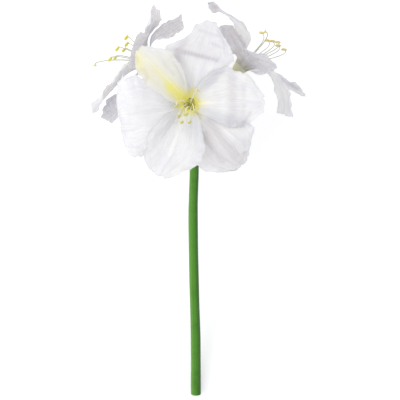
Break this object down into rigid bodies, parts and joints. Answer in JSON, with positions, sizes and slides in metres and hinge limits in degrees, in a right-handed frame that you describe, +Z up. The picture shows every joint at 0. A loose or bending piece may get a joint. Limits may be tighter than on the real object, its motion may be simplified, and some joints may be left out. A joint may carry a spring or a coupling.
{
  "type": "amaryllis stem",
  "caption": "Cut amaryllis stem lying down, with a stout leafless green scape and wide trumpet-shaped white blooms with yellow-green throats.",
  "frame": {"origin": "centre of the footprint, at the height of the surface that the stem lies on", "axes": "+Y along the scape from its cut end to the blooms, +Z up from the surface, out of the front bloom"},
  "size_m": [0.3004, 0.555, 0.2069],
  "materials": {
    "scape_green": "satin, fleshy",
    "tube_green": "satin, fleshy",
    "petal_white": "soft, faintly translucent",
    "stamen_cream": "matt",
    "style_cream": "satin",
    "spathe_tan": "dry, papery"
  },
  "bodies": {
    "root": {"scape": "scape_green", "spathe_bract_1": "spathe_tan", "spathe_bract_2": "spathe_tan", "front_pedicel": "scape_green", "front_tube": "tube_green", "front_petal_1": "petal_white", "front_petal_2": "petal_white", "front_petal_3": "petal_white", "front_sepal_1": "petal_white", "front_sepal_2": "petal_white", "front_sepal_3": "petal_white", "front_stamens": "stamen_cream", "front_style": "style_cream", "left_pedicel": "scape_green", "left_tube": "tube_green", "left_petal_1": "petal_white", "left_petal_2": "petal_white", "left_petal_3": "petal_white", "left_sepal_1": "petal_white", "left_sepal_2": "petal_white", "left_sepal_3": "petal_white", "left_stamens": "stamen_cream", "left_style": "style_cream", "right_pedicel": "scape_green", "right_tube": "tube_green", "right_petal_1": "petal_white", "right_petal_2": "petal_white", "right_petal_3": "petal_white", "right_sepal_1": "petal_white", "right_sepal_2": "petal_white", "right_sepal_3": "petal_white", "right_stamens": "stamen_cream", "right_style": "style_cream"}
  },
  "joints": []
}
